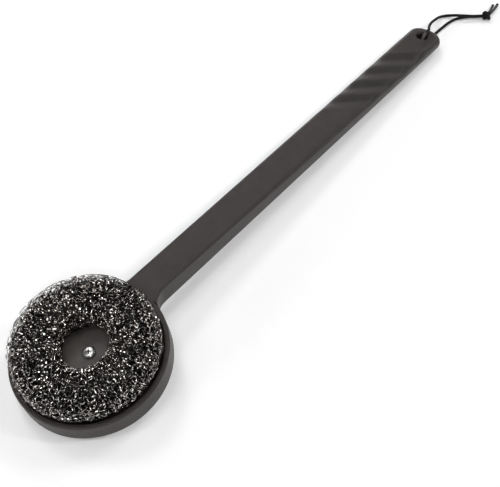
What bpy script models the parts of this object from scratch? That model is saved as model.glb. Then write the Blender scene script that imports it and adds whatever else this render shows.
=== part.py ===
"""Grill brush: a moulded handle and head with a clamped ring of knitted wire and a hanging cord.

The brush lies as it is put down, pad side up. It rests on the far edge of its head and, at the
other end, on the lower leg of its cord, which passes under the handle. +X runs along the brush
from the head to the handle's end, and +Z is up. The head leans by the rest tilt, so the pieces on
it are modelled round an empty that stands at the middle of the head's back, with its Z along the
screw. The handle is modelled in the same leaning frame and drops away from the head at its pitch.
"""

import math

import bmesh
import bpy
import numpy as np
from mathutils import Matrix, Vector

MM = 0.001

# Head: a shallow tray with a thick floor
HEAD_RADIUS = 50.0 * MM
HEAD_THICKNESS = 15.0 * MM
RIM_WIDTH = 3.2 * MM
FLOOR_HEIGHT = 8.9 * MM
TOP_EDGE_RADIUS = 1.5 * MM
BACK_EDGE_RADIUS = 1.0 * MM
RIM_INNER_RADIUS = 0.6 * MM
TRAY_FILLET = 1.5 * MM

# Handle: one bar that bends down from the head and grows wider, thinner and rounder to its grip
HANDLE_LENGTH = 368.1 * MM
HANDLE_PITCH = math.radians(15.0)
NECK_WIDTH = 22.0 * MM
NECK_THICKNESS = 14.8 * MM
NECK_EDGE_RADIUS = 1.2 * MM
GRIP_WIDTH = 28.0 * MM
GRIP_THICKNESS = 10.6 * MM
GRIP_EDGE_RADIUS = 4.8 * MM
TAPER_START = 12.0 * MM
TAPER_LENGTH = 310.0 * MM
END_CAP_LENGTH = 10.2 * MM
NECK_BEND_RADIUS = 30.0 * MM
NECK_CORNER_INSET = 1.0 * MM
NECK_BACK_INSET = 0.1 * MM
NECK_NEAR_FILLET_RADIUS = 16.0 * MM
NECK_FAR_FILLET_RADIUS = 6.0 * MM
NECK_FILLET_SINK = 1.3 * MM
NECK_OVERLAP = 2.5 * MM
WAVE_DEPTH = 0.9 * MM
WAVE_PITCH = 23.5 * MM
WAVE_COUNT = 4
LAST_WAVE_FROM_END = 55.5 * MM
HOLE_RADIUS = 4.75 * MM
HOLE_FROM_END = 14.0 * MM
HOLE_MOUTH_CHAMFER = 1.0 * MM

# Pieces that hold the pad
SCREW_RADIUS = 2.0 * MM
SCREW_LENGTH = 10.0 * MM
SCREW_HEAD_RADIUS = 4.2 * MM
SCREW_HEAD_HEIGHT = 1.9 * MM
RECESS_SPAN = 4.6 * MM
RECESS_SLOT = 0.95 * MM
RECESS_DEPTH = 1.1 * MM
INSERT_WALL = 1.1 * MM
INSERT_LENGTH = 6.0 * MM
INSERT_FLANGE = 0.9 * MM
INSERT_FLANGE_HEIGHT = 0.8 * MM
DISC_RADIUS = 18.8 * MM
DISC_THICKNESS = 1.6 * MM
DISC_EDGE_RADIUS = 0.5 * MM

# Scourer: a ring of knitted wire, gathered to a thin web round its small centre hole
RING_OUTER_RADIUS = 46.5 * MM
RING_HOLE_RADIUS = 15.4 * MM
RING_HEIGHT = 23.4 * MM
WEB_THICKNESS = 1.4 * MM
WEB_HOLE_RADIUS = 3.5 * MM
RING_SQUARENESS = 2.6

# Relief of the knit: lumps of gathered loops, with the gaps between them sunk into the ring
LUMP_COUNT = 48
LUMP_DEPTH = 2.2 * MM
LUMP_UNEVENNESS = 0.25

# Clearances between separate pieces
SEAT_GAP = 0.3 * MM
SIDE_GAP = 0.4 * MM
THREAD_GAP = 0.2 * MM

# Cord: both legs start in the hole, halfway through the handle, and end at the knot
CORD_DIAMETER = 2.4 * MM
CORD_LIFT = CORD_DIAMETER + 0.35 * MM
CORD_STEPS = 2
KNOT_SIZE = (8.4 * MM, 7.8 * MM, 7.2 * MM)
KNOT_PLACE = (0.2893, -0.0243, 0.0038)
KNOT_TURN = math.radians(-57.0)

CORD_UPPER_ROUTE = [
    (0.2163, -0.0016, 0.0093),
    (0.2164, -0.0016, 0.0110),
    (0.2172, -0.0016, 0.0133),
    (0.2189, -0.0016, 0.0151),
    (0.2214, -0.0015, 0.0159),
    (0.2246, -0.0013, 0.0158),
    (0.2280, -0.0008, 0.0153),
    (0.2309, 0.0008, 0.0143),
    (0.2360, 0.0029, 0.0126),
    (0.2421, 0.0048, 0.0105),
    (0.2484, 0.0063, 0.0082),
    (0.2551, 0.0071, 0.0060),
    (0.2620, 0.0077, 0.0037),
    (0.2677, 0.0068, 0.0021),
    (0.2716, 0.0044, 0.0016),
    (0.2735, 0.0008, 0.0023),
    (0.2740, -0.0033, 0.0038),
    (0.2750, -0.0073, 0.0047),
    (0.2772, -0.0107, 0.0046),
    (0.2799, -0.0138, 0.0041),
    (0.2825, -0.0167, 0.0038),
    (0.2844, -0.0191, 0.0039),
    (0.2854, -0.0210, 0.0042),
]
CORD_LOWER_ROUTE = [
    (0.2163, -0.0016, 0.0090),
    (0.2164, -0.0016, 0.0064),
    (0.2174, -0.0016, 0.0039),
    (0.2195, -0.0015, 0.0021),
    (0.2226, -0.0014, 0.0014),
    (0.2265, -0.0012, 0.0013),
    (0.2315, -0.0009, 0.0013),
    (0.2452, -0.0002, 0.0013),
    (0.2545, -0.0007, 0.0013),
    (0.2637, -0.0016, 0.0013),
    (0.2715, -0.0037, 0.0013),
    (0.2766, -0.0068, 0.0013),
    (0.2799, -0.0096, 0.0013),
    (0.2826, -0.0123, 0.0013),
    (0.2847, -0.0150, 0.0013),
    (0.2864, -0.0175, 0.0015),
    (0.2877, -0.0202, 0.0020),
]
CORD_TAIL_A_ROUTE = [
    (0.2905, -0.0246, 0.0036),
    (0.2973, -0.0231, 0.0029),
    (0.3041, -0.0216, 0.0020),
    (0.3090, -0.0204, 0.0013),
]
CORD_TAIL_B_ROUTE = [
    (0.2904, -0.0252, 0.0035),
    (0.2972, -0.0248, 0.0027),
    (0.3050, -0.0241, 0.0018),
    (0.3124, -0.0230, 0.0013),
]

# Faces round a turned piece, and along a rounded edge
HEAD_SEGMENTS = 96
RING_SEGMENTS = 2 * LUMP_COUNT
RING_ROWS = 30
RING_START = 210
RING_END = -90
DISC_SEGMENTS = 72
SMALL_SEGMENTS = 40
EDGE_STEPS = 4
TOP_FACE_STEPS = 10

MATERIALS = {
    "nylon": ((0.035, 0.033, 0.032), 0.62, 0.0),
    "disc_plastic": ((0.030, 0.029, 0.028), 0.5, 0.0),
    "knitted_steel": ((0.42, 0.41, 0.40), 0.3, 1.0),
    "screw_steel": ((0.78, 0.78, 0.78), 0.28, 1.0),
    "brass": ((0.72, 0.52, 0.25), 0.35, 1.0),
    "cord": ((0.018, 0.018, 0.019), 0.7, 0.0),
}


def clear_scene():
    for item in list(bpy.data.objects):
        bpy.data.objects.remove(item)


def new_collection(name):
    collection = bpy.data.collections.new(name)
    bpy.context.scene.collection.children.link(collection)
    return collection


def principled(name):
    colour, roughness, metallic = MATERIALS[name]
    material = bpy.data.materials.new(name)
    material.use_nodes = True
    shader = material.node_tree.nodes["Principled BSDF"]
    shader.inputs["Base Color"].default_value = (*colour, 1.0)
    shader.inputs["Roughness"].default_value = roughness
    shader.inputs["Metallic"].default_value = metallic
    return material


def add_object(name, data, collection, parent=None, material=None):
    item = bpy.data.objects.new(name, data)
    collection.objects.link(item)
    item.parent = parent
    if material:
        data.materials.append(material)
    return item


def as_cutter(item):
    item.hide_render = True
    item.display_type = "WIRE"
    return item


def arc(centre, radius, start, end, steps=EDGE_STEPS):
    """Points (r, z) on an arc whose angles in degrees are measured from +r towards +z."""
    turns = np.radians(np.linspace(start, end, steps + 1))
    return [(centre[0] + radius * math.cos(t), centre[1] + radius * math.sin(t)) for t in turns]


def turned(name, profile, segments, collection, parent=None, material=None, closed=False):
    """A solid of revolution about Z; an open profile runs from the axis to the axis."""
    mesh = bpy.data.meshes.new(name)
    count = len(profile)
    edges = [(i, i + 1) for i in range(count - 1)]
    if closed:
        edges.append((count - 1, 0))
    mesh.from_pydata([(r, 0.0, z) for r, z in profile], edges, [])
    item = add_object(name, mesh, collection, parent, material)
    screw = item.modifiers.new("Turn", "SCREW")
    screw.axis = "Z"
    screw.angle = math.tau
    screw.steps = segments
    screw.render_steps = segments
    screw.use_merge_vertices = True
    screw.merge_threshold = 0.000001
    screw.use_smooth_shade = True
    return item


def boolean(item, tool, operation):
    change = item.modifiers.new(f"{operation.title()} {tool.name}", "BOOLEAN")
    change.operation = operation
    change.solver = "EXACT"
    change.object = tool


def head_profile():
    """The tray's outline from the insert's pocket out over the rim and round to the back."""
    tray_radius = HEAD_RADIUS - RIM_WIDTH
    pocket_radius = SCREW_RADIUS + THREAD_GAP + INSERT_WALL + SEAT_GAP
    flange_radius = pocket_radius + INSERT_FLANGE
    flange_seat = FLOOR_HEIGHT - INSERT_FLANGE_HEIGHT - 2 * SEAT_GAP
    pocket_floor = min(FLOOR_HEIGHT - INSERT_LENGTH - 2 * SEAT_GAP, screw_tip() - SEAT_GAP)
    points = [(0.0, pocket_floor), (pocket_radius, pocket_floor), (pocket_radius, flange_seat)]
    points += [(flange_radius, flange_seat), (flange_radius, FLOOR_HEIGHT)]
    fillet = (tray_radius - TRAY_FILLET, FLOOR_HEIGHT + TRAY_FILLET)
    points += arc(fillet, TRAY_FILLET, -90, 0)
    inner = (tray_radius + RIM_INNER_RADIUS, HEAD_THICKNESS - RIM_INNER_RADIUS)
    points += arc(inner, RIM_INNER_RADIUS, 180, 90)
    outer = (HEAD_RADIUS - TOP_EDGE_RADIUS, HEAD_THICKNESS - TOP_EDGE_RADIUS)
    points += arc(outer, TOP_EDGE_RADIUS, 90, 0)
    back = (HEAD_RADIUS - BACK_EDGE_RADIUS, BACK_EDGE_RADIUS)
    points += arc(back, BACK_EDGE_RADIUS, 0, -90)
    points.append((0.0, 0.0))
    return points


def handle_centre(distance):
    """Centre of the bar at a distance from the bend's corner, and how far it has pitched there."""
    middle = HEAD_THICKNESS / 2
    corner = HEAD_RADIUS - NECK_CORNER_INSET
    reach = NECK_BEND_RADIUS * math.tan(HANDLE_PITCH / 2)
    if distance <= -reach:
        return Vector((corner + distance, 0.0, middle)), 0.0
    if distance >= reach:
        run = Vector((math.cos(HANDLE_PITCH), 0.0, -math.sin(HANDLE_PITCH)))
        return Vector((corner, 0.0, middle)) + run * distance, HANDLE_PITCH
    turn = HANDLE_PITCH * (distance + reach) / (2 * reach)
    x = corner - reach + NECK_BEND_RADIUS * math.sin(turn)
    z = middle - NECK_BEND_RADIUS * (1 - math.cos(turn))
    return Vector((x, 0.0, z)), turn


def tapered(neck, grip, distance):
    """A size that changes evenly from its value at the neck to its value in the grip."""
    share = min(max((distance - TAPER_START) / TAPER_LENGTH, 0.0), 1.0)
    return neck + (grip - neck) * share


def fillet_centre(half, fillet):
    """Plan position of a neck fillet that joins a bar of a half width to the round head."""
    y = half + fillet
    reach = HEAD_RADIUS + fillet - NECK_FILLET_SINK
    return math.sqrt(reach**2 - y**2), y


def plan_half_width(x, distance, inset, fillet):
    """Half the bar's width in plan, for an outline drawn in by an inset from its side wall."""
    half = tapered(NECK_WIDTH, GRIP_WIDTH, distance) / 2
    fillet_x, fillet_y = fillet_centre(half, fillet)
    if x < fillet_x:
        radius = fillet + inset
        return fillet_y - math.sqrt(max(radius**2 - (x - fillet_x) ** 2, 0.0))
    into_cap = distance - (HANDLE_LENGTH - END_CAP_LENGTH)
    if into_cap <= 0:
        return half - inset
    share = min(into_cap / (END_CAP_LENGTH - inset), 1.0)
    return (half - inset) * math.sqrt(1 - share**2)


def underside(x, half):
    """The lowest the bar may reach: the head's back at first, then its own falling underside."""
    corner = HEAD_RADIUS - NECK_CORNER_INSET
    drop = (x - corner) * math.tan(HANDLE_PITCH) + half / math.cos(HANDLE_PITCH)
    return min(NECK_BACK_INSET, HEAD_THICKNESS / 2 - drop)


def wave_drop(distance, y):
    """How far the oblique finger waves lower the top face."""
    last = HANDLE_LENGTH - LAST_WAVE_FROM_END
    first = last - (WAVE_COUNT - 1) * WAVE_PITCH
    place = distance + y
    if not first - WAVE_PITCH / 2 < place < last + WAVE_PITCH / 2:
        return 0.0
    return WAVE_DEPTH * (0.5 + 0.5 * math.cos(math.tau * (place - last) / WAVE_PITCH))


def handle_section(distance):
    """One closed ring of points round the bar, square to its run."""
    centre, turn = handle_centre(distance)
    edge = tapered(NECK_EDGE_RADIUS, GRIP_EDGE_RADIUS, distance)
    half = tapered(NECK_THICKNESS, GRIP_THICKNESS, distance) / 2
    deepest = min(edge, max(HANDLE_LENGTH - distance, 0.0))
    last_angle = math.acos(1 - deepest / edge)
    far, near = [], []
    for step in range(EDGE_STEPS + 1):
        angle = last_angle * step / EDGE_STEPS
        inset = edge * (1 - math.cos(angle))
        height = half - edge + edge * math.sin(angle)
        far.append((plan_half_width(centre.x, distance, inset, NECK_FAR_FILLET_RADIUS), height))
        near.append((-plan_half_width(centre.x, distance, inset, NECK_NEAR_FILLET_RADIUS), height))
    (far_y, top_z), (near_y, _) = far[-1], near[-1]
    steps = range(1, TOP_FACE_STEPS)
    across = [(far_y + (near_y - far_y) * i / TOP_FACE_STEPS, top_z) for i in steps]
    upper = far + across + near[::-1]
    ring = upper + [(y, -z) for y, z in reversed(upper)]
    up = Vector((math.sin(turn), 0.0, math.cos(turn)))
    points = []
    for y, z in ring:
        lift = max(0.0, (z - (half - edge)) / edge)
        height = z - lift * wave_drop(distance, y)
        point = centre + Vector((0.0, y, 0.0)) + up * height
        point.z = max(point.z, underside(point.x, half))
        points.append(point)
    return points


def handle_stations():
    """Distances of the rings: close together at the neck, the waves and the end."""
    reach = NECK_BEND_RADIUS * math.tan(HANDLE_PITCH / 2)
    start = NECK_CORNER_INSET - NECK_OVERLAP
    waves_end = HANDLE_LENGTH - LAST_WAVE_FROM_END + WAVE_PITCH
    waves_start = waves_end - (WAVE_COUNT + 1) * WAVE_PITCH
    cap_start = HANDLE_LENGTH - END_CAP_LENGTH
    fillet_x, _ = fillet_centre(NECK_WIDTH / 2, NECK_NEAR_FILLET_RADIUS)
    neck_end = max(1.5 * reach, fillet_x - HEAD_RADIUS + NECK_CORNER_INSET + 1.0 * MM)
    stations = list(np.linspace(start, neck_end, 24))
    stations += list(np.linspace(waves_start, waves_end, 10 * (WAVE_COUNT + 1) + 1))
    stations += [cap_start + END_CAP_LENGTH * math.sin(t) for t in np.radians(np.linspace(0, 84, 13))]
    return stations


def handle_bar(collection, parent):
    """The bar, lofted through its rings because its section, plan and top face all change."""
    mesh = bpy.data.meshes.new("handle_bar")
    loft = bmesh.new()
    rings = [[loft.verts.new(p) for p in handle_section(float(s))] for s in handle_stations()]
    for ring, following in zip(rings, rings[1:]):
        for i in range(len(ring)):
            j = (i + 1) % len(ring)
            loft.faces.new((ring[i], ring[j], following[j], following[i]))
    loft.faces.new(rings[0])
    loft.faces.new(rings[-1])
    bmesh.ops.recalc_face_normals(loft, faces=loft.faces)
    loft.to_mesh(mesh)
    loft.free()
    return as_cutter(add_object("handle_bar", mesh, collection, parent))


def hole_cutter(collection, parent):
    """A chamfered through hole square to the handle."""
    distance = HANDLE_LENGTH - HOLE_FROM_END
    centre, turn = handle_centre(distance)
    half = tapered(NECK_THICKNESS, GRIP_THICKNESS, distance) / 2
    over = 2.0 * MM
    mouth = HOLE_RADIUS + HOLE_MOUTH_CHAMFER + over
    neck = half - HOLE_MOUTH_CHAMFER
    profile = [(0.0, half + over), (mouth, half + over), (HOLE_RADIUS, neck)]
    profile += [(HOLE_RADIUS, -neck), (mouth, -half - over), (0.0, -half - over)]
    cutter = turned("hole_cutter", profile, SMALL_SEGMENTS, collection, parent)
    cutter.location = centre
    cutter.rotation_euler = (0.0, turn, 0.0)
    return as_cutter(cutter)


def handle_and_head(parts, cutters, parent, material):
    body = turned("handle_and_head", head_profile(), HEAD_SEGMENTS, parts, parent, material)
    boolean(body, handle_bar(cutters, parent), "UNION")
    boolean(body, hole_cutter(cutters, parent), "DIFFERENCE")
    return body


def web_bottom():
    return FLOOR_HEIGHT + SEAT_GAP


def disc_bottom():
    return web_bottom() + WEB_THICKNESS + SEAT_GAP


def screw_seat():
    return disc_bottom() + DISC_THICKNESS + SEAT_GAP


def screw_tip():
    return screw_seat() - SCREW_LENGTH


def threaded_insert(parts, parent, material):
    """A flanged sleeve moulded into the head, which takes the screw."""
    bore = SCREW_RADIUS + THREAD_GAP
    outer = bore + INSERT_WALL
    top = FLOOR_HEIGHT - SEAT_GAP
    flange_base = top - INSERT_FLANGE_HEIGHT
    base = top - INSERT_LENGTH
    profile = [(bore, top), (outer + INSERT_FLANGE, top), (outer + INSERT_FLANGE, flange_base)]
    profile += [(outer, flange_base), (outer, base), (bore, base)]
    return turned("threaded_insert", profile, SMALL_SEGMENTS, parts, parent, material, closed=True)


def gap_depth(row, step, r):
    """How far a gap between loops is drawn into the ring: further where the loops are wide."""
    turn = RING_START + (RING_END - RING_START) * row / RING_ROWS
    fade = max(0.0, min(1.0, (RING_START - turn) / 30, (turn + 50) / 30))
    uneven = 1 - LUMP_UNEVENNESS * (1 + math.sin(5 * math.tau * step / RING_SEGMENTS + 1.3 * row))
    return LUMP_DEPTH * fade * uneven * r / RING_OUTER_RADIUS


def scourer_profile():
    """Web, then the ring's inner wall, crown and outer wall, and back under it."""
    base = web_bottom()
    web_top = base + WEB_THICKNESS
    middle_radius = (RING_OUTER_RADIUS + RING_HOLE_RADIUS) / 2
    half_width = (RING_OUTER_RADIUS - RING_HOLE_RADIUS) / 2
    half_height = RING_HEIGHT / 2
    middle_height = base + half_height
    seat_radius = DISC_RADIUS + SIDE_GAP
    power = 2 / RING_SQUARENESS
    points = [(WEB_HOLE_RADIUS, base), (WEB_HOLE_RADIUS, web_top), (seat_radius, web_top)]
    points.append((seat_radius, disc_bottom() + DISC_THICKNESS + SIDE_GAP))
    for turn in np.radians(np.linspace(RING_START, RING_END, RING_ROWS + 1)):
        cos, sin = math.cos(turn), math.sin(turn)
        r = middle_radius + half_width * math.copysign(abs(cos) ** power, cos)
        z = middle_height + half_height * math.copysign(abs(sin) ** power, sin)
        points.append((r, z))
    return points


def scourer(parts, parent, material):
    """The ring and its web, whose profile runs clockwise, with gaps sunk into it between crossing ridges."""
    profile = scourer_profile()
    item = turned("scourer", profile, RING_SEGMENTS, parts, parent, material, closed=True)
    plain = item.data
    item.data = bpy.data.meshes.new_from_object(item.evaluated_get(bpy.context.evaluated_depsgraph_get()))
    item.modifiers.clear()
    bpy.data.meshes.remove(plain)
    places = np.array(profile)
    first = len(profile) - RING_ROWS - 1
    along = np.roll(places, -1, axis=0) - np.roll(places, 1, axis=0)
    along /= np.linalg.norm(along, axis=1)[:, None]
    shape = bmesh.new()
    shape.from_mesh(item.data)
    ridge = set()
    for vertex in shape.verts:
        x, y, z = vertex.co
        r = math.hypot(x, y)
        index = int(np.argmin(np.hypot(places[:, 0] - r, places[:, 1] - z)))
        step = round(math.atan2(y, x) / math.tau * RING_SEGMENTS) % RING_SEGMENTS
        if index < first:
            continue
        if (index - first + step) % 2 == 0:
            ridge.add(vertex)
            continue
        depth = gap_depth(index - first, step, r)
        new_r = r + along[index, 1] * depth
        vertex.co = (x * new_r / r, y * new_r / r, z - along[index, 0] * depth)
    for face in list(shape.faces):
        corners = [v for v in face.verts if v in ridge]
        if len(face.verts) == 4 and len(corners) == 2:
            if not any(corners[0] in edge.verts and corners[1] in edge.verts for edge in face.edges):
                bmesh.utils.face_split(face, *corners)
    for face in shape.faces:
        face.smooth = not ridge.intersection(face.verts)
    shape.to_mesh(item.data)
    shape.free()
    return item


def retaining_disc(parts, parent, material):
    bore = SCREW_RADIUS + SIDE_GAP
    base = disc_bottom()
    top = base + DISC_THICKNESS
    profile = [(bore, base), (bore, top)]
    profile += arc((DISC_RADIUS - DISC_EDGE_RADIUS, top - DISC_EDGE_RADIUS), DISC_EDGE_RADIUS, 90, 0)
    profile.append((DISC_RADIUS, base))
    return turned("retaining_disc", profile, DISC_SEGMENTS, parts, parent, material, closed=True)


def recess_cutter(collection, parent, turn, name):
    """One slot of the cross recess, narrower towards its foot."""
    top = screw_seat() + SCREW_HEAD_HEIGHT
    shape = bmesh.new()
    bmesh.ops.create_cube(shape, size=1.0)
    for corner in shape.verts:
        share = 1.0 if corner.co.z > 0 else 0.55
        corner.co.x *= RECESS_SPAN * share
        corner.co.y *= RECESS_SLOT
        corner.co.z = top + 0.5 * MM if corner.co.z > 0 else top - RECESS_DEPTH
    mesh = bpy.data.meshes.new(name)
    shape.to_mesh(mesh)
    shape.free()
    cutter = add_object(name, mesh, collection, parent)
    cutter.rotation_euler = (0.0, 0.0, turn)
    return as_cutter(cutter)


def screw(parts, cutters, parent, material):
    """A low domed head with a cross recess on a plain shank."""
    seat = screw_seat()
    side = 0.7 * MM
    dome = SCREW_HEAD_HEIGHT - side
    points = [(0.0, seat + SCREW_HEAD_HEIGHT)]
    for turn in np.radians(np.linspace(75, 0, 6)):
        points.append((SCREW_HEAD_RADIUS * math.cos(turn), seat + side + dome * math.sin(turn)))
    points += [(SCREW_HEAD_RADIUS, seat), (SCREW_RADIUS, seat)]
    chamfer = 0.5 * MM
    points += [(SCREW_RADIUS, screw_tip() + chamfer), (SCREW_RADIUS - chamfer, screw_tip())]
    points.append((0.0, screw_tip()))
    item = turned("screw", points, SMALL_SEGMENTS, parts, parent, material)
    boolean(item, recess_cutter(cutters, parent, math.radians(40), "recess_cutter_a"), "DIFFERENCE")
    boolean(item, recess_cutter(cutters, parent, math.radians(130), "recess_cutter_b"), "DIFFERENCE")
    return item


def smooth_route(route, steps):
    """Points read from a Catmull-Rom curve through the route's points."""
    points = [Vector(p) for p in route]
    padded = [2 * points[0] - points[1], *points, 2 * points[-1] - points[-2]]
    curve = []
    for before, a, b, after in zip(padded, padded[1:], padded[2:], padded[3:]):
        for step in range(steps):
            t = step / steps
            curve.append(
                0.5
                * (
                    2 * a
                    + (b - before) * t
                    + (2 * before - 5 * a + 4 * b - after) * t**2
                    + (3 * a - before - 3 * b + after) * t**3
                )
            )
    curve.append(points[-1])
    return curve


def cord_curve(name, route, steps, collection, material=None):
    """A round cord along a route, as a curve with a bevel and filled ends."""
    curve = bpy.data.curves.new(name, "CURVE")
    curve.dimensions = "3D"
    curve.bevel_depth = CORD_DIAMETER / 2
    curve.bevel_resolution = 2
    curve.use_fill_caps = True
    points = smooth_route(route, steps)
    spline = curve.splines.new("POLY")
    spline.points.add(len(points) - 1)
    for target, point in zip(spline.points, points):
        target.co = (*point, 1.0)
    return add_object(name, curve, collection, None, material)


def mesh_from_curve(item, collection):
    """The curve's tube as a closed mesh object in its place."""
    bpy.context.view_layer.update()
    evaluated = item.evaluated_get(bpy.context.evaluated_depsgraph_get())
    mesh = bpy.data.meshes.new_from_object(evaluated)
    weld = bmesh.new()
    weld.from_mesh(mesh)
    bmesh.ops.remove_doubles(weld, verts=weld.verts, dist=0.00001)
    bmesh.ops.recalc_face_normals(weld, faces=weld.faces)
    weld.to_mesh(mesh)
    weld.free()
    name, place = item.name, item.matrix_world.copy()
    bpy.data.objects.remove(item)
    solid = add_object(name, mesh, collection)
    solid.matrix_world = place
    return solid


def cord_knot(parts, cutters, material):
    """The knot that joins both legs, with the cord's two cut ends."""
    shape = bmesh.new()
    bmesh.ops.create_uvsphere(shape, u_segments=20, v_segments=12, radius=0.5)
    mesh = bpy.data.meshes.new("cord_knot")
    shape.to_mesh(mesh)
    shape.free()
    mesh.transform(Matrix.Diagonal((*KNOT_SIZE, 1.0)))
    knot = add_object("cord_knot", mesh, parts, None, material)
    knot.location = KNOT_PLACE
    knot.rotation_euler = (0.0, 0.0, KNOT_TURN)
    for name, route in (("tail_a", CORD_TAIL_A_ROUTE), ("tail_b", CORD_TAIL_B_ROUTE)):
        tail = mesh_from_curve(cord_curve(name, route, 2, cutters), cutters)
        boolean(knot, as_cutter(tail), "UNION")
    return knot


def cord(parts, cutters, material):
    cord_curve("cord_upper_leg", CORD_UPPER_ROUTE, CORD_STEPS, parts, material)
    cord_curve("cord_lower_leg", CORD_LOWER_ROUTE, CORD_STEPS, parts, material)
    cord_knot(parts, cutters, material)


def lay_down(frame, body):
    """Tilts the head's frame until the brush rests on its head's edge and on the cord.

    The origin ends up on the surface, under the middle of the moulding's length.
    """
    bpy.context.view_layer.update()
    evaluated = body.evaluated_get(bpy.context.evaluated_depsgraph_get())
    solid = evaluated.to_mesh()
    corners = np.array([v.co for v in solid.vertices])
    evaluated.to_mesh_clear()
    near = corners[corners[:, 0] < HEAD_RADIUS]
    far = corners[corners[:, 0] > HEAD_RADIUS]
    low, high = 0.0, HANDLE_PITCH
    for _ in range(60):
        tilt = (low + high) / 2
        sin, cos = math.sin(tilt), math.cos(tilt)
        gap = (far[:, 0] * sin + far[:, 2] * cos).min() - (near[:, 0] * sin + near[:, 2] * cos).min()
        if gap > CORD_LIFT:
            high = tilt
        else:
            low = tilt
    x = corners[:, 0] * cos - corners[:, 2] * sin
    z = corners[:, 0] * sin + corners[:, 2] * cos
    frame.rotation_euler = (0.0, -tilt, 0.0)
    frame.location = (-(x.min() + x.max()) / 2, 0.0, -z.min())


def main():
    clear_scene()
    parts = new_collection("grill_brush")
    cutters = new_collection("cutters")
    materials = {name: principled(name) for name in MATERIALS}
    frame = add_object("head_axis", None, parts)
    body = handle_and_head(parts, cutters, frame, materials["nylon"])
    threaded_insert(parts, frame, materials["brass"])
    scourer(parts, frame, materials["knitted_steel"])
    retaining_disc(parts, frame, materials["disc_plastic"])
    screw(parts, cutters, frame, materials["screw_steel"])
    cord(parts, cutters, materials["cord"])
    lay_down(frame, body)


main()
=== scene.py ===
"""Looks of the grill brush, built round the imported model.

Lengths are in metres in the model's frame. Points named in the head's frame are measured from the
middle of the head's back, with Z along the screw and X towards the handle.
"""

import math

import bmesh
import bpy
import numpy as np
from mathutils import Matrix, Vector


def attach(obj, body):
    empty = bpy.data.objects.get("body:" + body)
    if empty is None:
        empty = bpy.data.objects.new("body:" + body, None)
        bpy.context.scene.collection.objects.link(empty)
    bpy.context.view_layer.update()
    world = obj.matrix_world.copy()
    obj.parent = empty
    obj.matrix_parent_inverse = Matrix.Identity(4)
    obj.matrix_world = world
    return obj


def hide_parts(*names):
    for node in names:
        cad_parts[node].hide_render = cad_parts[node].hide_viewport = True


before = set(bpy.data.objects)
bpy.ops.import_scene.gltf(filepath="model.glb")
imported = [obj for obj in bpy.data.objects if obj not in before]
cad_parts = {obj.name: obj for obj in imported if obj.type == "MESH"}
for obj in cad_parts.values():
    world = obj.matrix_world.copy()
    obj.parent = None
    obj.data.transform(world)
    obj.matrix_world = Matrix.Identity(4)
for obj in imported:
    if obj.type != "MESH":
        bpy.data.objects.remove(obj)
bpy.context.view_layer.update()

MM = 0.001

# Where the head's frame stands in the model's frame
HEAD_TILT = math.radians(11.917656)
HEAD_PLACE = (-0.181128, 0.0, 0.010123)
HEAD = Matrix.Translation(HEAD_PLACE) @ Matrix.Rotation(-HEAD_TILT, 4, "Y")

# Camera, in the head's frame
CAMERA_PLACE = (-0.120554, -0.289863, 0.548276)
CAMERA_RIGHT = Vector((0.580199, -0.805098, -0.123232))
CAMERA_FORWARD = Vector((0.368563, 0.394451, -0.841766))
PHOTO_WIDTH = 500
FOCAL_PIXELS = 1010.33

# Cord
CORD_DIAMETER = 2.4 * MM
CORD_STEPS = 6
CORD_ROUNDNESS = 4
CORD_UPPER_ROUTE = [
    (0.2163, -0.0016, 0.0093),
    (0.2164, -0.0016, 0.0110),
    (0.2172, -0.0016, 0.0133),
    (0.2189, -0.0016, 0.0151),
    (0.2214, -0.0015, 0.0159),
    (0.2246, -0.0013, 0.0158),
    (0.2280, -0.0008, 0.0153),
    (0.2309, 0.0008, 0.0143),
    (0.2360, 0.0029, 0.0126),
    (0.2421, 0.0048, 0.0105),
    (0.2484, 0.0063, 0.0082),
    (0.2551, 0.0071, 0.0060),
    (0.2620, 0.0077, 0.0037),
    (0.2677, 0.0068, 0.0021),
    (0.2716, 0.0044, 0.0016),
    (0.2735, 0.0008, 0.0023),
    (0.2740, -0.0033, 0.0038),
    (0.2750, -0.0073, 0.0047),
    (0.2772, -0.0107, 0.0046),
    (0.2799, -0.0138, 0.0041),
    (0.2825, -0.0167, 0.0038),
    (0.2844, -0.0191, 0.0039),
    (0.2854, -0.0210, 0.0042),
]
CORD_LOWER_ROUTE = [
    (0.2163, -0.0016, 0.0090),
    (0.2164, -0.0016, 0.0064),
    (0.2174, -0.0016, 0.0039),
    (0.2195, -0.0015, 0.0021),
    (0.2226, -0.0014, 0.0014),
    (0.2265, -0.0012, 0.0013),
    (0.2315, -0.0009, 0.0013),
    (0.2452, -0.0002, 0.0013),
    (0.2545, -0.0007, 0.0013),
    (0.2637, -0.0016, 0.0013),
    (0.2715, -0.0037, 0.0013),
    (0.2766, -0.0068, 0.0013),
    (0.2799, -0.0096, 0.0013),
    (0.2826, -0.0123, 0.0013),
    (0.2847, -0.0150, 0.0013),
    (0.2864, -0.0175, 0.0015),
    (0.2877, -0.0202, 0.0020),
]
CORD_TAIL_ROUTES = (
    [
        (0.2905, -0.0246, 0.0036),
        (0.2973, -0.0231, 0.0029),
        (0.3041, -0.0216, 0.0020),
        (0.3090, -0.0204, 0.0013),
    ],
    [
        (0.2904, -0.0252, 0.0035),
        (0.2972, -0.0248, 0.0027),
        (0.3050, -0.0241, 0.0018),
        (0.3124, -0.0230, 0.0013),
    ],
)
TAIL_DIAMETER = 2.1 * MM
TIP_DIAMETER = TAIL_DIAMETER + 0.2 * MM
TIP_LENGTH = 2.2 * MM
TIP_OVERHANG = 0.15 * MM

# Knot
KNOT_PLACE = (0.2893, -0.0243, 0.0038)
KNOT_TURN = math.radians(-57.0)
KNOT_REACH = (2.7 * MM, 2.5 * MM, 2.1 * MM)
KNOT_STRAND = 3.0 * MM
KNOT_POINTS = 72

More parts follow.
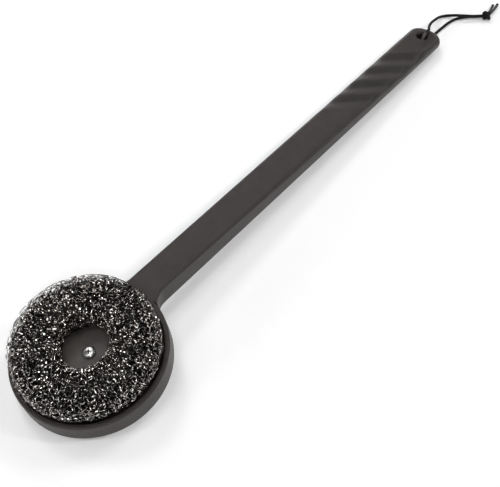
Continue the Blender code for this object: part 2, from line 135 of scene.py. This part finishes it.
# Stretch of the cord over which the painted highlight in the hole fades, along X
HIGHLIGHT_FADE = (0.2195, 0.2225)

# Finger waves of the grip, along the model's X plus Y; each looks darkest on its side towards the head, where
# it has painted shade, and has a painted highlight on its ridge at the far side
WAVE_PITCH = 23.5 * MM
WAVE_LEAN = 8.5 * MM
LAST_VALLEY = 0.2303 - 55.4 * MM + WAVE_LEAN
WAVES_MIDDLE = LAST_VALLEY - 1.5 * WAVE_PITCH
WAVE_SHADE = 0.4 * MM

# Where the waves fade: away from their middle, towards upright faces, and from the near side's painted shade
# to the far side's painted highlight
WAVE_FADE = (0.041, 0.047)
WAVE_UPRIGHT = (0.6, 0.9)
WAVE_FAR_SIDE = (0.003, 0.010)

# Screw's cross recess, in the head's frame, whose faces take a dark copy of the zinc as painted shade
SCREW_TOP = 14.7 * MM
RECESS_RADIUS = 2.5 * MM
RECESS_LOWEST = SCREW_TOP - 1.3 * MM
RECESS_FLOOR = SCREW_TOP - 0.8 * MM

# Faces of the moulding that meet at less than this are shaded as one
SMOOTH_ANGLE = math.radians(35.0)

# Scourer's roll, in the head's frame
RING_OUTER_RADIUS = 46.5 * MM
RING_HOLE_RADIUS = 15.4 * MM
RING_HEIGHT = 23.4 * MM
RING_BASE = 9.2 * MM
RING_SQUARENESS = 2.6

# The knit stands a little higher towards the handle and the far side
RISE_ALONG = 0.016
RISE_ACROSS = 0.016

# Pits between the gathered loops, on the same grid as the solid ring, with angles in degrees
LUMP_COUNT = 48
LUMP_DEPTH = 2.2 * MM
LUMP_UNEVENNESS = 0.25
PIT_STEP = 10.0
PITS_FROM = -50.0
PITS_TO = 210.0
PITS_FADE = 30.0

# Core inside the knit, a near-black shell of painted shade
CORE_INSET = 3.2 * MM
CORE_ROWS = 96
CORE_STEPS = 4 * LUMP_COUNT

# Flat wire: its section, and how it turns on edge at a loop's crest
WIRE_WIDTH = 0.32 * MM
WIRE_THICKNESS = 0.13 * MM
CREST_ROLL = 0.85
SWING_ROLL = 0.2
RANDOM_ROLL = 0.15

# Loops: reach in courses, lean and bulge in wales, and lift where wires cross
LOOP_REACH = (0.52, 0.74)
LOOP_REACH_SWING = 0.12
LOOP_LEAN = 0.12
LOOP_BULGE = 0.20
LOOP_BULGE_SWING = 0.05
CROSSING_LIFT = 0.5 * MM

# How far a loose knit drifts, and the radius at which that is measured
DRIFT = 3 * MM
DRIFT_RADIUS = 31 * MM

# How far the wire may stand out, and how much more of that there is on the side away from the handle
STAND_OUT = 0.4 * MM
FRINGE = 1.3 * MM
FRINGE_TURN = 0.35

# Floor: its reach, and the strength of its own glow, which keeps the shadows on white light
FLOOR_REACH = 4.0
FLOOR_GLOW = 0.19

# Bright panels of the studio: strength, what is between them as a share of it, edge, size and place
PANEL_STRENGTH = 6.4
PANEL_GAP = 0.003
PANEL_EDGE = (0.662, 0.685)
PANEL_SCALE = 2.6
PANEL_SHIFT = (1.7, 0.0, 0.0)

# How high the white wall round the floor stands and ends, as the sine of its elevation
WALL_TOP = 0.10
WALL_END = WALL_TOP + 0.04

# Each lamp's name, the direction it stands in, its strength and its width in degrees
SUNS = (
    ("key_far", (0.24, 0.61, 0.95), 0.61, 17),
    ("key_end", (0.75, -0.15, 0.70), 0.58, 18),
    ("glint_left", (-0.55, 0.35, 0.9), 0.12, 7),
    ("glint_right", (0.45, -0.65, 0.8), 0.44, 6),
    ("glint_high", (-0.1, -0.1, 1.0), 0.14, 9),
    ("glint_low", (-0.6, -0.75, 0.9), 0.36, 6),
)

# Smallest length that a direction is divided by
TINY = 1e-12

scene = bpy.context.scene


def add_object(name, data, material=None):
    item = bpy.data.objects.new(name, data)
    scene.collection.objects.link(item)
    if material:
        data.materials.append(material)
    return item


def make_camera():
    data = bpy.data.cameras.new("camera")
    item = add_object("camera", data)
    up = CAMERA_RIGHT.cross(CAMERA_FORWARD)
    place = Matrix.Identity(4)
    for row in range(3):
        place[row][0] = CAMERA_RIGHT[row]
        place[row][1] = up[row]
        place[row][2] = -CAMERA_FORWARD[row]
        place[row][3] = CAMERA_PLACE[row]
    item.matrix_world = HEAD @ place
    data.sensor_width = 36.0
    data.lens = data.sensor_width * FOCAL_PIXELS / PHOTO_WIDTH
    data.shift_x = -0.5 / PHOTO_WIDTH
    data.shift_y = 0.5 / PHOTO_WIDTH
    data.clip_start = 0.01
    scene.camera = item


make_camera()


# Materials
class Tree:
    """A node tree built by short calls, in which a socket takes a value or another node's output."""

    # The two inputs and the output of a Mix node that belong to a type of data
    MIX_SOCKETS = {"VECTOR": (4, 5, 1), "RGBA": (6, 7, 2)}

    def __init__(self, tree):
        self.tree = tree

    def feed(self, socket, value):
        if isinstance(value, bpy.types.NodeSocket):
            self.tree.links.new(value, socket)
        else:
            socket.default_value = value

    def node(self, kind, **inputs):
        made = self.tree.nodes.new(kind)
        for name, value in inputs.items():
            self.feed(made.inputs[name.replace("_", " ")], value)
        return made

    def maths(self, operation, a, b=0.0):
        made = self.tree.nodes.new("ShaderNodeMath")
        made.operation = operation
        self.feed(made.inputs[0], a)
        self.feed(made.inputs[1], b)
        return made.outputs[0]

    def mix(self, data_type, share, a, b):
        made = self.tree.nodes.new("ShaderNodeMix")
        made.data_type = data_type
        first, second, output = self.MIX_SOCKETS[data_type]
        self.feed(made.inputs[0], share)
        self.feed(made.inputs[first], a)
        self.feed(made.inputs[second], b)
        return made.outputs[output]

    def ramp(self, value, stops):
        made = self.node("ShaderNodeValToRGB", Fac=value)
        elements = made.color_ramp.elements
        while len(elements) < len(stops):
            elements.new(0.5)
        for element, (position, colour) in zip(elements, stops):
            element.position = position
            element.color = (*colour, 1.0)
        return made.outputs["Color"]

    def spread(self, value, low, high, out_low, out_high):
        made = self.node(
            "ShaderNodeMapRange", Value=value, From_Min=low, From_Max=high, To_Min=out_low, To_Max=out_high
        )
        return made.outputs["Result"]

    def seen_ray(self):
        """1 for rays that show the surroundings: to the camera, in metal and through glass."""
        path = self.node("ShaderNodeLightPath")
        seen = path.outputs["Is Camera Ray"]
        for name in ("Is Glossy Ray", "Is Transmission Ray"):
            seen = self.maths("MAXIMUM", seen, path.outputs[name])
        return seen


class Look(Tree):
    """A Principled material, textured in the object's own coordinates."""

    def __init__(self, name, colour, roughness, metallic=0.0):
        self.material = bpy.data.materials.new(name)
        self.material.use_nodes = True
        super().__init__(self.material.node_tree)
        self.shader = self.tree.nodes["Principled BSDF"]
        self.surface("Base Color", (*colour, 1.0))
        self.surface("Roughness", roughness)
        self.surface("Metallic", metallic)
        self.place = self.node("ShaderNodeTexCoord").outputs["Object"]

    def surface(self, name, value):
        self.feed(self.shader.inputs[name], value)

    def noise(self, scale, detail=2.0, rough=0.5):
        made = self.node("ShaderNodeTexNoise", Vector=self.place, Scale=scale, Detail=detail, Roughness=rough)
        return made.outputs["Fac"]

    def bump(self, height, strength, distance):
        made = self.node("ShaderNodeBump", Height=height, Strength=strength, Distance=distance)
        self.surface("Normal", made.outputs["Normal"])
        return made


def grey(value):
    return value, value, value


def finger_waves(made):
    """The grip's oblique waves, 0 in a valley, 1 on a ridge and 0.5 elsewhere, and the far side's share."""
    split = made.node("ShaderNodeSeparateXYZ", Vector=made.place)
    place = made.maths("ADD", split.outputs["X"], split.outputs["Y"])
    turns = made.maths("MULTIPLY", made.maths("SUBTRACT", place, LAST_VALLEY), math.tau / WAVE_PITCH)
    swing = made.maths("MULTIPLY", made.maths("COSINE", turns), -0.5)
    away = made.maths("ABSOLUTE", made.maths("SUBTRACT", place, WAVES_MIDDLE))
    inside = made.spread(away, *WAVE_FADE, 1.0, 0.0)
    normal = made.node("ShaderNodeNewGeometry").outputs["Normal"]
    upright = made.node("ShaderNodeSeparateXYZ", Vector=normal).outputs["Z"]
    inside = made.maths("MULTIPLY", inside, made.spread(upright, *WAVE_UPRIGHT, 0.0, 1.0))
    far_side = made.spread(split.outputs["Y"], *WAVE_FAR_SIDE, 0.0, 1.0)
    return made.maths("ADD", made.maths("MULTIPLY", swing, inside), 0.5), far_side


def nylon_material():
    """Moulded nylon with a fine grain, with painted shade in the grip's valleys on the near side and a
    painted highlight on its ridges at the far side.
    """
    made = Look("moulded_nylon", (0.027, 0.0205, 0.0185), 0.55)
    grain = made.noise(1100.0, 4.0, 0.6)
    mottle = made.noise(70.0, 3.0, 0.6)
    waves, far_side = finger_waves(made)
    # Painted shade in the valleys on the near side, and a painted highlight on the ridges at the far side
    near_painted_shade = made.ramp(waves, [(0.0, grey(0.5)), (0.28, grey(0.56)), (0.5, grey(1.0)), (1.0, grey(1.1))])
    far_painted_highlight = made.ramp(
        waves, [(0.0, grey(0.8)), (0.5, grey(1.0)), (0.8, (2.2, 2.6, 2.7)), (1.0, (2.5, 3.0, 3.1))]
    )
    plain = made.ramp(mottle, [(0.3, (0.025, 0.0187, 0.0168)), (0.7, (0.034, 0.0258, 0.0234))])
    tone = made.node("ShaderNodeVectorMath")
    tone.operation = "MULTIPLY"
    made.feed(tone.inputs[0], plain)
    made.feed(tone.inputs[1], made.mix("VECTOR", far_side, near_painted_shade, far_painted_highlight))
    made.surface("Base Color", tone.outputs["Vector"])
    made.surface("Specular IOR Level", 0.38)
    made.surface("Roughness", made.spread(grain, 0.3, 0.7, 0.34, 0.48))
    fine = made.bump(grain, 0.7, 0.0006)
    scoop = made.node("ShaderNodeBump", Height=waves, Strength=1.0, Distance=WAVE_SHADE)
    made.feed(fine.inputs["Normal"], scoop.outputs["Normal"])
    return made.material


def wire_material(name, dark, light):
    """Flat wire, in short dark and light stretches; the darker copies of the bright wire are painted shade.
    """
    made = Look(name, light, 0.24, 1.0)
    made.surface("Base Color", made.ramp(made.noise(420.0, 1.0), [(0.41, dark), (0.61, light)]))
    made.surface("Roughness", made.spread(made.noise(700.0), 0.3, 0.7, 0.08, 0.2))
    return made.material


def metal_material(name, colour, low, high):
    made = Look(name, colour, 0.3, 1.0)
    made.surface("Roughness", made.spread(made.noise(900.0), 0.3, 0.7, low, high))
    return made.material


def disc_material():
    made = Look("disc_plastic", (0.083, 0.071, 0.066), 0.5)
    stops = [(0.3, (0.076, 0.0645, 0.0595)), (0.7, (0.092, 0.079, 0.074))]
    made.surface("Base Color", made.ramp(made.noise(90.0, 3.0), stops))
    made.surface("Roughness", made.spread(made.noise(400.0, 3.0), 0.3, 0.7, 0.44, 0.58))
    made.bump(made.noise(1500.0), 0.3, 0.0001)
    return made.material


def cord_material(name, dark, light):
    """Matt waxed sheath, with its strands as a fine relief, and a painted highlight where it lies in the
    hole.
    """
    made = Look(name, dark, 0.6)
    made.surface("Specular IOR Level", 0.2)
    plain = made.ramp(made.noise(1200.0, 3.0), [(0.3, dark), (0.7, light)])
    along = made.node("ShaderNodeSeparateXYZ", Vector=made.place).outputs["X"]
    # Painted highlight, lighter where the cord lies in the hole
    painted_highlight = made.spread(along, *HIGHLIGHT_FADE, 1.0, 0.0)
    made.surface("Base Color", made.mix("RGBA", painted_highlight, plain, (0.10, 0.096, 0.094, 1.0)))
    made.bump(made.noise(1600.0, 3.0), 0.5, 0.0002)
    return made.material


NYLON = nylon_material()
WIRE = wire_material("bright_wire", (0.11, 0.097, 0.090), (0.95, 0.905, 0.88))
# Darker copies of the same steel as painted shade: on the loose loops, deeper on the second and third layers,
# deepest on the core
WIRE_LOOP_SHADE = wire_material("loop_wire_shaded", (0.02, 0.0178, 0.0165), (0.50, 0.47, 0.45))
WIRE_MID_SHADE = wire_material("mid_wire_shaded", (0.006, 0.0052, 0.0049), (0.07, 0.063, 0.060))
WIRE_DEEP_SHADE = wire_material("deep_wire_shaded", (0.003, 0.0027, 0.0026), (0.010, 0.0092, 0.0088))
CORE_SHADE = wire_material("core_wire_shaded", grey(0.002), grey(0.006))
ZINC = metal_material("bright_zinc", (0.62, 0.62, 0.61), 0.24, 0.36)
# Dark copy of the zinc, painted shade for the screw's recess
RECESS_SHADE = metal_material("recess_zinc_shaded", grey(0.03), 0.35, 0.5)
BRASS = metal_material("brass", (0.72, 0.52, 0.25), 0.28, 0.42)
DISC = disc_material()
CORD = cord_material("waxed_cord", grey(0.0015), grey(0.005))
FRAYED = cord_material("worn_cord", (0.030, 0.029, 0.028), (0.085, 0.083, 0.080))


# Cord
def smooth_route(route):
    """Points read from a Catmull-Rom curve through the route's points."""
    points = [Vector(p) for p in route]
    padded = [2 * points[0] - points[1], *points, 2 * points[-1] - points[-2]]
    curve = []
    for before, a, b, after in zip(padded, padded[1:], padded[2:], padded[3:]):
        for step in range(CORD_STEPS):
            t = step / CORD_STEPS
            once = (b - before) * t
            twice = (2 * before - 5 * a + 4 * b - after) * t**2
            thrice = (3 * a - before - 3 * b + after) * t**3
            curve.append(0.5 * (2 * a + once + twice + thrice))
    curve.append(points[-1])
    return curve


def round_curve(name, paths, diameter, material):
    """Round cord along one or more paths; a path that ends where it starts is closed."""
    curve = bpy.data.curves.new(name, "CURVE")
    curve.dimensions = "3D"
    curve.bevel_depth = diameter / 2
    curve.bevel_resolution = CORD_ROUNDNESS
    curve.use_fill_caps = True
    for points in paths:
        closed = (points[0] - points[-1]).length < 1e-6
        points = points[:-1] if closed else points
        spline = curve.splines.new("POLY")
        spline.points.add(len(points) - 1)
        for target, point in zip(spline.points, points):
            target.co = (*point, 1.0)
        spline.use_cyclic_u = closed
        spline.use_smooth = True
    return add_object(name, curve, material)


def knot_path():
    """An overhand knot's closed turns, pulled tight to a ball."""
    place = Matrix.Translation(KNOT_PLACE) @ Matrix.Rotation(KNOT_TURN, 4, "Z")
    path = []
    for k in range(KNOT_POINTS + 1):
        t = math.tau * (k % KNOT_POINTS) / KNOT_POINTS
        # Divided by their largest values, so that each stays within 1
        x = (math.sin(t) + 2 * math.sin(2 * t)) / 2.75
        y = (math.cos(t) - 2 * math.cos(2 * t)) / 3.0
        z = -math.sin(3 * t)
        path.append(place @ Vector((y * KNOT_REACH[0], x * KNOT_REACH[1], z * KNOT_REACH[2])))
    return path


def tie():
    """The knot, with the legs' last few millimetres inside it, and both cut tails."""
    middle = Vector(KNOT_PLACE)
    stubs = []
    for route in (CORD_UPPER_ROUTE, CORD_LOWER_ROUTE):
        end = Vector(route[-1])
        stubs.append([end, end.lerp(middle, 0.5), middle])
    tips = []
    for route in CORD_TAIL_ROUTES:
        end, before = Vector(route[-1]), Vector(route[-2])
        back = (before - end).normalized()
        tips.append([end + back * TIP_LENGTH, end - back * TIP_OVERHANG])
    pieces = [
        round_curve("cord_knot_turns", [knot_path()], KNOT_STRAND, CORD),
        round_curve("cord_knot_ends", stubs, CORD_DIAMETER, CORD),
        round_curve("cord_tails", [smooth_route(route) for route in CORD_TAIL_ROUTES], TAIL_DIAMETER, FRAYED),
        round_curve("cord_tips", tips, TIP_DIAMETER, CORD),
    ]
    for piece in pieces:
        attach(piece, "brush")
    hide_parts("cord_knot")
    return pieces


knot_pieces = tie()
for leg_name, node_name, route in (
    ("cord_upper", "cord_upper_leg", CORD_UPPER_ROUTE),
    ("cord_lower", "cord_lower_leg", CORD_LOWER_ROUTE),
):
    leg = round_curve(leg_name, [smooth_route(route)], CORD_DIAMETER, CORD)
    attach(leg, "brush")
    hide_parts(node_name)


# Moulding and the small parts
def dressed_copy(name, node_name, material, body):
    """The CAD solid with its doubled vertices merged and its curved faces shaded smooth."""
    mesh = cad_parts[node_name].data.copy()
    mesh.materials.clear()
    weld = bmesh.new()
    weld.from_mesh(mesh)
    bmesh.ops.remove_doubles(weld, verts=weld.verts, dist=0.002 * MM)
    for face in weld.faces:
        face.smooth = True
    for edge in weld.edges:
        edge.smooth = len(edge.link_faces) == 2 and edge.calc_face_angle(0.0) < SMOOTH_ANGLE
    weld.to_mesh(mesh)
    weld.free()
    item = add_object(name, mesh, material)
    shade = item.modifiers.new("Even normals", "WEIGHTED_NORMAL")
    shade.keep_sharp = True
    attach(item, body)
    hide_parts(node_name)
    return item


def in_recess(face):
    """Whether a face of the screw's head is part of its cross recess."""
    centre = HEAD.inverted() @ face.center
    upright = (HEAD.inverted().to_3x3() @ face.normal).z
    floor = upright > 0.9 and centre.z < RECESS_FLOOR
    wall = upright < 0.5
    return centre.z > RECESS_LOWEST and math.hypot(centre.x, centre.y) < RECESS_RADIUS and (floor or wall)


dressed_copy("moulding", "handle_and_head", NYLON, "brush")
dressed_copy("disc", "retaining_disc", DISC, "scourer_pack")
screw = dressed_copy("clamping_screw", "screw", ZINC, "clamp_screw")
# The cross recess gets the dark copy of the zinc: painted shade
screw.data.materials.append(RECESS_SHADE)
for face in screw.data.polygons:
    if in_recess(face):
        face.material_index = 1
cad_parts["threaded_insert"].data.materials.clear()
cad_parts["threaded_insert"].data.materials.append(BRASS)


# Scourer
def ring_table(inset, count=720):
    """Angle, radius, height, outward direction and distance round the section, drawn in by an inset."""
    turn = np.linspace(0.0, math.tau, count)
    cosine, sine = np.cos(turn), np.sin(turn)
    power = 2.0 / RING_SQUARENESS
    half_width = (RING_OUTER_RADIUS - RING_HOLE_RADIUS) / 2 - inset
    half_height = RING_HEIGHT / 2 - inset
    middle = (RING_OUTER_RADIUS + RING_HOLE_RADIUS) / 2
    r = middle + half_width * np.sign(cosine) * np.abs(cosine) ** power
    z = RING_BASE + RING_HEIGHT / 2 + half_height * np.sign(sine) * np.abs(sine) ** power
    dr, dz = np.gradient(r), np.gradient(z)
    size = np.hypot(dr, dz) + TINY
    along = np.concatenate([[0.0], np.cumsum(np.hypot(np.diff(r), np.diff(z)))])
    return turn, r, z, dz / size, -dr / size, along


def pit_depth(turn, u, r):
    """How far the knit sinks at a place: one pit in each square between the crossing ridges."""
    angle = np.degrees(np.mod(turn + math.pi / 2, math.tau)) - 90.0
    row = (PITS_TO - angle) / PIT_STEP
    step = 2 * LUMP_COUNT * u / math.tau
    fade = np.clip(np.minimum((PITS_TO - angle) / PITS_FADE, (angle - PITS_FROM) / PITS_FADE), 0.0, 1.0)
    uneven = 1.0 - LUMP_UNEVENNESS * (1.0 + np.sin(5 * u + 1.3 * row))
    p, q = step + row, step - row
    off = np.maximum(np.abs(np.mod(p, 2.0) - 1.0), np.abs(np.mod(q, 2.0) - 1.0))
    return LUMP_DEPTH * fade * uneven * (1.0 - off) * r / RING_OUTER_RADIUS


def raised(points):
    """Points in the head's frame, lifted where the ring stands higher."""
    share = np.clip((points[..., 2] - RING_BASE) / RING_HEIGHT, 0.0, 1.0)
    points[..., 2] += share * (RISE_ALONG * points[..., 0] + RISE_ACROSS * points[..., 1])
    return points


class Ripples:
    """A smooth field made of seeded sine waves, periodic round the ring and round its section."""

    def __init__(self, seed, waves, turns_low, turns_high, rows_low, rows_high):
        draw = np.random.default_rng(seed)
        self.turns = draw.integers(turns_low, turns_high + 1, waves) * draw.choice([-1, 1], waves)
        self.rows = draw.integers(rows_low, rows_high + 1, waves)
        self.phase = draw.uniform(0, math.tau, waves)
        self.size = draw.uniform(0.5, 1.0, waves)
        self.size /= np.sqrt((self.size**2).sum() / 2)

    def at(self, u, v):
        total = np.zeros_like(u)
        for turns, rows, phase, size in zip(self.turns, self.rows, self.phase, self.size):
            total += size * np.sin(turns * u + rows * v + phase)
        return total


def ribbon(centre, normal, roll, width):
    """Corners of a closed flat wire along its middle line, rolled out of the surface by an angle."""
    tangent = np.roll(centre, -1, 0) - np.roll(centre, 1, 0)
    tangent /= np.linalg.norm(tangent, axis=1)[:, None] + TINY
    side = np.cross(tangent, normal)
    side /= np.linalg.norm(side, axis=1)[:, None] + TINY
    face = np.cross(side, tangent)
    across = side * np.cos(roll)[:, None] + face * np.sin(roll)[:, None]
    through = np.cross(across, tangent)
    across *= width / 2
    through *= WIRE_THICKNESS / 2
    corners = (centre + across + through, centre - across + through,
               centre - across - through, centre + across - through)
    return np.stack(corners, 1).reshape(-1, 3)


def ribbon_faces(count, first):
    """The four long sides of a closed flat wire, whose corners are numbered from a first one."""
    here = np.arange(count) * 4
    ahead = (np.arange(count) + 1) % count * 4
    sides = []
    for k in range(4):
        m = (k + 1) % 4
        sides.append(np.stack([here + k, ahead + k, ahead + m, here + m], 1) + first)
    return np.concatenate(sides)


def knitted_layer(name, inset, wales, courses, shear, seed, samples=16, material=WIRE, rows=None,
                  sink=1.0, wander=0.5, width=WIRE_WIDTH, loose=0.3):
    """One layer of knitted flat wire laid round the ring: a closed ribbon of loops for each course."""
    turn_table, r_table, z_table, nr_table, nz_table, along = ring_table(inset)
    girth = along[-1]
    pitch = girth / courses
    draw = np.random.default_rng(seed)
    t = np.arange(wales * samples) * (math.tau / samples)
    u0 = t / wales
    wander_u = Ripples(seed + 1, 14, 4, 30, 1, 7)
    wander_v = Ripples(seed + 2, 14, 4, 30, 1, 7)
    wander_n = Ripples(seed + 3, 16, 6, 44, 2, 12)
    wander_roll = Ripples(seed + 4, 12, 10, 60, 2, 14)
    points, faces = [], []
    for course in range(courses):
        reach = draw.uniform(*LOOP_REACH)
        lean = draw.uniform(-LOOP_LEAN, LOOP_LEAN)
        start = draw.uniform(-loose, loose)
        if rows and course not in rows:
            continue
        v0 = math.tau * course / courses
        bulge = LOOP_BULGE + LOOP_BULGE_SWING * np.sin(3 * u0 + course)
        u = (t + math.tau * (bulge * np.sin(2 * t) + lean * np.sin(t) + start)) / wales
        reach = reach + LOOP_REACH_SWING * np.sin(7 * u0 + 2.3 * course)
        height = course * pitch + pitch * reach * np.cos(t)
        height = height + DRIFT * loose * wander_v.at(u0, v0)
        u = u + DRIFT * loose * wander_u.at(u0, v0) / DRIFT_RADIUS + shear * height / girth
        where = np.mod(height, girth)
        turn, r, z, nr, nz = (
            np.interp(where, along, table) for table in (turn_table, r_table, z_table, nr_table, nz_table)
        )
        lift = CROSSING_LIFT * np.cos(2 * t) + wander * MM * wander_n.at(u0, v0)
        lift = lift - sink * pit_depth(turn, u, r)
        lift = np.minimum(lift, STAND_OUT + FRINGE * (0.5 - 0.5 * np.cos(u - FRINGE_TURN)) + inset)
        r = r + nr * lift
        z = z + nz * lift
        centre = np.stack([r * np.cos(u), r * np.sin(u), z], 1)
        normal = np.stack([nr * np.cos(u), nr * np.sin(u), nz], 1)
        roll = (RANDOM_ROLL + loose) * wander_roll.at(u0, v0)
        roll = roll + CREST_ROLL * np.cos(t) + SWING_ROLL * np.sin(t + course)
        faces.append(ribbon_faces(len(t), sum(len(p) for p in points)))
        points.append(ribbon(centre, normal, roll, width))
    mesh = bpy.data.meshes.new(name)
    mesh.from_pydata(raised(np.concatenate(points)).tolist(), [], np.concatenate(faces).tolist())
    mesh.transform(HEAD)
    mesh.update()
    return add_object(name, mesh, material)


def ring_core():
    """A dark shell inside the roll, painted shade which the open loops show through."""
    turn, r, z, nr, nz, _ = ring_table(CORE_INSET, CORE_ROWS + 1)
    u = np.arange(CORE_STEPS) * (math.tau / CORE_STEPS)
    mesh = bpy.data.meshes.new("scourer_core")
    shape = bmesh.new()
    rings = []
    for k in range(CORE_ROWS):
        depth = pit_depth(np.full(CORE_STEPS, turn[k]), u, np.full(CORE_STEPS, r[k]))
        ring_r = r[k] - nr[k] * depth
        ring = raised(np.stack([ring_r * np.cos(u), ring_r * np.sin(u), z[k] - nz[k] * depth], 1))
        rings.append([shape.verts.new(point) for point in ring])
    for k, a in enumerate(rings):
        b = rings[(k + 1) % CORE_ROWS]
        for i in range(CORE_STEPS):
            j = (i + 1) % CORE_STEPS
            shape.faces.new((a[i], a[j], b[j], b[i])).smooth = True
    bmesh.ops.recalc_face_normals(shape, faces=shape.faces)
    shape.to_mesh(mesh)
    shape.free()
    mesh.transform(HEAD)
    return add_object("scourer_core", mesh, CORE_SHADE)


# The outermost layer is one knit in two pieces, which hold every other course each
OUTERMOST = {
    "inset": 0.3 * MM, "wales": 64, "courses": 26, "shear": 0.0, "seed": 11,
    "loose": 0.05, "wander": 0.2,
}
knit = [
    knitted_layer("scourer_knit_even", rows=range(0, 26, 2), **OUTERMOST),
    knitted_layer("scourer_knit_odd", rows=range(1, 26, 2), **OUTERMOST),
    # The inner and loose layers wear the darker copies of the wire, as painted shade
    knitted_layer("scourer_knit_second", 1.2 * MM, 48, 22, -0.35, 23, material=WIRE_MID_SHADE),
    knitted_layer("scourer_knit_third", 2.2 * MM, 48, 20, 0.5, 37, samples=14, material=WIRE_DEEP_SHADE),
    knitted_layer("scourer_knit_loose", -0.7 * MM, 36, 16, 0.25, 51, samples=20, material=WIRE_LOOP_SHADE,
                  rows=range(1, 5), sink=0.3, wander=0.35, width=0.40 * MM),
]
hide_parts("scourer")
for item in [*knit, ring_core()]:
    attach(item, "scourer_pack")


# Floor and light
def paper_material():
    """White paper that keeps the object's shadow, with a weak glow of its own in what is seen of it."""
    made = Look("white_paper", grey(0.8), 0.9)
    made.surface("Specular IOR Level", 0.0)
    seen = made.seen_ray()
    white = (*grey(1.0), 1.0)
    shown = made.node("ShaderNodeAddShader")
    made.feed(shown.inputs[0], made.node("ShaderNodeBsdfDiffuse", Color=white).outputs[0])
    made.feed(shown.inputs[1], made.node("ShaderNodeEmission", Color=white, Strength=FLOOR_GLOW).outputs[0])
    either = made.node("ShaderNodeMixShader", Fac=seen)
    made.feed(either.inputs[1], made.shader.outputs[0])
    made.feed(either.inputs[2], shown.outputs[0])
    made.feed(made.tree.nodes["Material Output"].inputs["Surface"], either.outputs[0])
    return made.material


def lay_floor():
    mesh = bpy.data.meshes.new("floor")
    corners = [(x * FLOOR_REACH, y * FLOOR_REACH, 0) for x, y in ((-1, -1), (1, -1), (1, 1), (-1, 1))]
    mesh.from_pydata(corners, [], [(0, 1, 2, 3)])
    floor = add_object("floor", mesh, paper_material())


def light_studio():
    """A dark room with bright panels, and a low white wall that only rays to what is seen meet."""
    world = bpy.data.worlds.new("studio")
    scene.world = world
    world.use_nodes = True
    made = Tree(world.node_tree)
    place = made.node("ShaderNodeTexCoord").outputs["Generated"]
    shift = made.node("ShaderNodeMapping", Vector=place, Location=PANEL_SHIFT)
    noise = made.node("ShaderNodeTexNoise", Vector=shift.outputs["Vector"], Scale=PANEL_SCALE, Detail=0.0)
    gap, full = PANEL_EDGE
    panels = made.ramp(noise.outputs["Fac"], [(gap, grey(PANEL_GAP)), (full, grey(1.0))])
    height = made.node("ShaderNodeSeparateXYZ", Vector=place).outputs["Z"]
    wall = made.maths("MULTIPLY", made.spread(height, WALL_TOP, WALL_END, 1.0, 0.0), made.seen_ray())
    white = (*grey(1 / PANEL_STRENGTH), 1.0)
    back = made.tree.nodes["Background"]
    made.feed(back.inputs["Strength"], PANEL_STRENGTH)
    made.feed(back.inputs["Color"], made.mix("RGBA", wall, panels, white))


def hang_sun(name, towards, strength, width):
    data = bpy.data.lights.new(name, "SUN")
    data.energy = strength
    data.angle = math.radians(width)
    lamp = add_object(name, data)
    lamp.rotation_mode = "QUATERNION"
    lamp.rotation_quaternion = Vector(towards).normalized().to_track_quat("Z", "Y")


lay_floor()
light_studio()
for lamp in SUNS:
    hang_sun(*lamp)
scene.view_settings.view_transform = "Standard"
